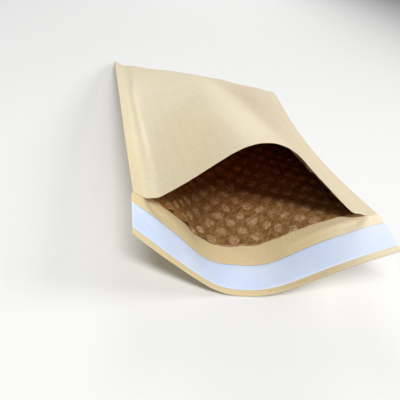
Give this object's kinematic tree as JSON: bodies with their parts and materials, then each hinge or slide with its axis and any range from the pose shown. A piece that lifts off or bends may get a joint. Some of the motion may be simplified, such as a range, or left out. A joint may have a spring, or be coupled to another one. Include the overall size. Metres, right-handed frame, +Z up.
{
  "type": "padded envelope",
  "caption": "Open padded mailing envelope of kraft paper with a bubble film lining and a peel-off strip on its flap, lying on its back with the mouth gaping.",
  "frame": {"origin": "on the surface it lies on, under the middle of the envelope's box", "axes": "+X across the envelope, to the right as seen from the flap; +Y towards the folded closed end, the flap towards -Y; +Z up, the back panel below"},
  "size_m": [0.25, 0.3832, 0.1105],
  "materials": {
    "kraft_paper": "pale golden kraft paper, matt with fine fibres",
    "bubble_film": "thin film in flat round bubbles over brown paper, with pale crumpled crowns and a soft gloss",
    "hot_melt_adhesive": "thin tacky coat",
    "release_liner": "siliconed white paper with a cool sheen"
  },
  "bodies": {
    "root": {"kraft_paper": "kraft_paper", "bubble_lining": "bubble_film", "adhesive_strip": "hot_melt_adhesive", "release_liner": "release_liner"}
  },
  "joints": []
}
